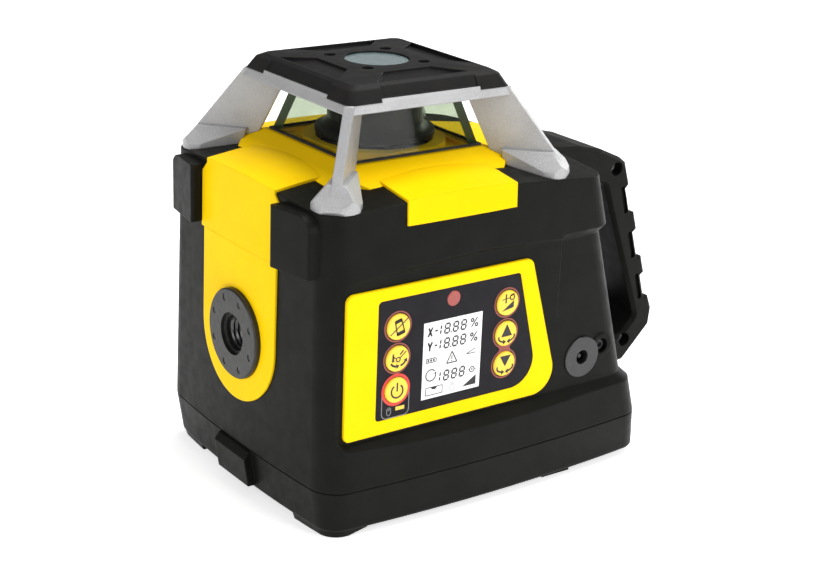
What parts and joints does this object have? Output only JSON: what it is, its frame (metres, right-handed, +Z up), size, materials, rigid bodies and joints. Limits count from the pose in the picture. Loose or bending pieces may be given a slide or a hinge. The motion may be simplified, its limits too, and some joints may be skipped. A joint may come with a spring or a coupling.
{
  "type": "rotary laser level",
  "caption": "Self-levelling rotary laser level with a glazed rotor head, fin cage, keypad panel and side handle.",
  "frame": {"origin": "centre of the bottom thread in the plane of the feet", "axes": "+Z up along the rotor axis, +X towards the handle, -Y towards the control panel"},
  "size_m": [0.2485, 0.1544, 0.2004],
  "materials": {
    "housing_black": "fine moulded texture",
    "cover_yellow": "satin moulded",
    "cage_silver": "speckled silver paint",
    "cap_black": "satin",
    "sight_glass": "clear with green edges",
    "cap_glass": "tinted, faintly speckled",
    "drum_black": "satin",
    "optic_glass": "polished",
    "panel_yellow": "satin",
    "membrane_black": "printed film",
    "lcd_clear": "clear window",
    "lcd_cell": "display cell",
    "key_yellow": "soft touch",
    "indicator_red": "translucent",
    "board_green": "solder mask",
    "handle_black": "grained",
    "screw_steel": "zinc plated",
    "screw_black": "black oxide",
    "flange_alu": "dark anodised",
    "insert_steel": "turned",
    "brass_part": "turned",
    "frame_alu": "as cast",
    "module_alu": "turned and anodised",
    "motor_steel": "drawn can",
    "contact_steel": "nickel plated",
    "cell_wrap": "shrink sleeve",
    "seal_rubber": "matt",
    "belt_rubber": "matt",
    "bearing_steel": "ground",
    "fork_plastic": "natural",
    "vial_glass": "filled",
    "socket_black": "satin"
  },
  "bodies": {
    "instrument": {"base_gasket": "seal_rubber", "base_housing": "housing_black", "base_screws": "screw_steel", "battery_cells": "cell_wrap", "battery_contacts": "contact_steel", "battery_door": "housing_black", "body_screws": "screw_black", "bottom_thread_mount": "flange_alu", "cage": "cage_silver", "cap_screws": "screw_black", "cap_window": "cap_glass", "charging_socket": "socket_black", "chassis": "frame_alu", "chassis_screws": "screw_steel", "glass_panes": "sight_glass", "handle_back_half": "handle_black", "handle_front_half": "handle_black", "handle_screws": "screw_black", "indicator_lens": "indicator_red", "keypad_board": "board_green", "lcd_module": "lcd_cell", "lcd_window": "lcd_clear", "levelling_motors": "motor_steel", "main_board": "board_green", "main_housing": "housing_black", "panel_frame": "panel_yellow", "panel_membrane": "membrane_black", "side_mount_flange": "flange_alu", "side_mount_screws": "screw_black", "side_strip": "cover_yellow", "side_thread_insert": "insert_steel", "socket_bezel": "socket_black", "top_cap": "cap_black", "top_cover": "cover_yellow"},
    "battery_lock_body": {"battery_lock": "screw_black"},
    "gimbal_body": {"gimbal_ring": "frame_alu"},
    "carrier_body": {"laser_carrier": "module_alu", "laser_module": "brass_part", "laser_lens": "optic_glass", "level_vials": "vial_glass", "drive_motor": "motor_steel", "bearing_outer_ring": "bearing_steel", "bearing_balls": "bearing_steel", "drive_belt": "belt_rubber"},
    "rotor_body": {"rotor_spindle": "module_alu", "bearing_inner_ring": "bearing_steel", "rotor_drum": "drum_black", "pentaprism": "optic_glass"},
    "pulley_body": {"motor_pulley": "brass_part"},
    "fork_x_body": {"levelling_fork_x": "fork_plastic"},
    "fork_y_body": {"levelling_fork_y": "fork_plastic"},
    "screw_x_body": {"levelling_screw_x": "brass_part"},
    "screw_y_body": {"levelling_screw_y": "brass_part"},
    "key_shock_body": {"key_shock": "key_yellow"},
    "key_scan_body": {"key_scan": "key_yellow"},
    "key_power_body": {"key_power": "key_yellow"},
    "key_slope_body": {"key_slope": "key_yellow"},
    "key_up_body": {"key_up": "key_yellow"},
    "key_down_body": {"key_down": "key_yellow"}
  },
  "joints": [
    {"name": "battery_lock_turn", "type": "hinge", "parent": "instrument", "child": "battery_lock_body", "pos_m": [0.096, 0, 0.0065], "axis": [0, 0, 1], "range_deg": [0, 90]},
    {"name": "key_shock_press", "type": "slide", "parent": "instrument", "child": "key_shock_body", "axis": [0, 1, 0], "range_m": [0, 0.0005], "stiffness_N_per_m": 1500},
    {"name": "key_scan_press", "type": "slide", "parent": "instrument", "child": "key_scan_body", "axis": [0, 1, 0], "range_m": [0, 0.0005], "stiffness_N_per_m": 1500},
    {"name": "key_power_press", "type": "slide", "parent": "instrument", "child": "key_power_body", "axis": [0, 1, 0], "range_m": [0, 0.0005], "stiffness_N_per_m": 1500},
    {"name": "key_slope_press", "type": "slide", "parent": "instrument", "child": "key_slope_body", "axis": [0, 1, 0], "range_m": [0, 0.0005], "stiffness_N_per_m": 1500},
    {"name": "key_up_press", "type": "slide", "parent": "instrument", "child": "key_up_body", "axis": [0, 1, 0], "range_m": [0, 0.0005], "stiffness_N_per_m": 1500},
    {"name": "key_down_press", "type": "slide", "parent": "instrument", "child": "key_down_body", "axis": [0, 1, 0], "range_m": [0, 0.0005], "stiffness_N_per_m": 1500},
    {"name": "tilt_x", "type": "hinge", "parent": "instrument", "child": "gimbal_body", "pos_m": [0, 0, 0.15], "axis": [1, 0, 0], "range_deg": [-3, 3]},
    {"name": "tilt_y", "type": "hinge", "parent": "gimbal_body", "child": "carrier_body", "pos_m": [0, 0, 0.15], "axis": [0, 1, 0], "range_deg": [-3, 3]},
    {"name": "rotor_spin", "type": "hinge", "parent": "carrier_body", "child": "rotor_body", "pos_m": [0, 0, 0.1534], "axis": [0, 0, 1], "continuous": true},
    {"name": "pulley_spin", "type": "hinge", "parent": "carrier_body", "child": "pulley_body", "pos_m": [-0.0205, 0, 0.1594], "axis": [0, 0, 1], "continuous": true},
    {"name": "fork_x_slide", "type": "slide", "parent": "instrument", "child": "fork_x_body", "axis": [1, 0, 0], "range_m": [-0.0031, 0.0031]},
    {"name": "fork_y_slide", "type": "slide", "parent": "instrument", "child": "fork_y_body", "axis": [0, 1, 0], "range_m": [-0.0034, 0.0034]},
    {"name": "screw_x_turn", "type": "hinge", "parent": "instrument", "child": "screw_x_body", "pos_m": [0.03, 0, 0.0935], "axis": [1, 0, 0], "range_deg": [-600, 600]},
    {"name": "screw_y_turn", "type": "hinge", "parent": "instrument", "child": "screw_y_body", "pos_m": [0, -0.03, 0.0875], "axis": [0, 1, 0], "range_deg": [-620, 620]}
  ],
  "couplings": [
    {"joint": "pulley_spin", "follows": "rotor_spin", "ratio": 3.25},
    {"joint": "fork_x_slide", "follows": "tilt_y", "m_per_rad": -0.0565},
    {"joint": "fork_y_slide", "follows": "tilt_x", "m_per_rad": 0.0625},
    {"joint": "screw_x_turn", "follows": "tilt_y", "ratio": -177.5},
    {"joint": "screw_y_turn", "follows": "tilt_x", "ratio": 196.35}
  ]
}
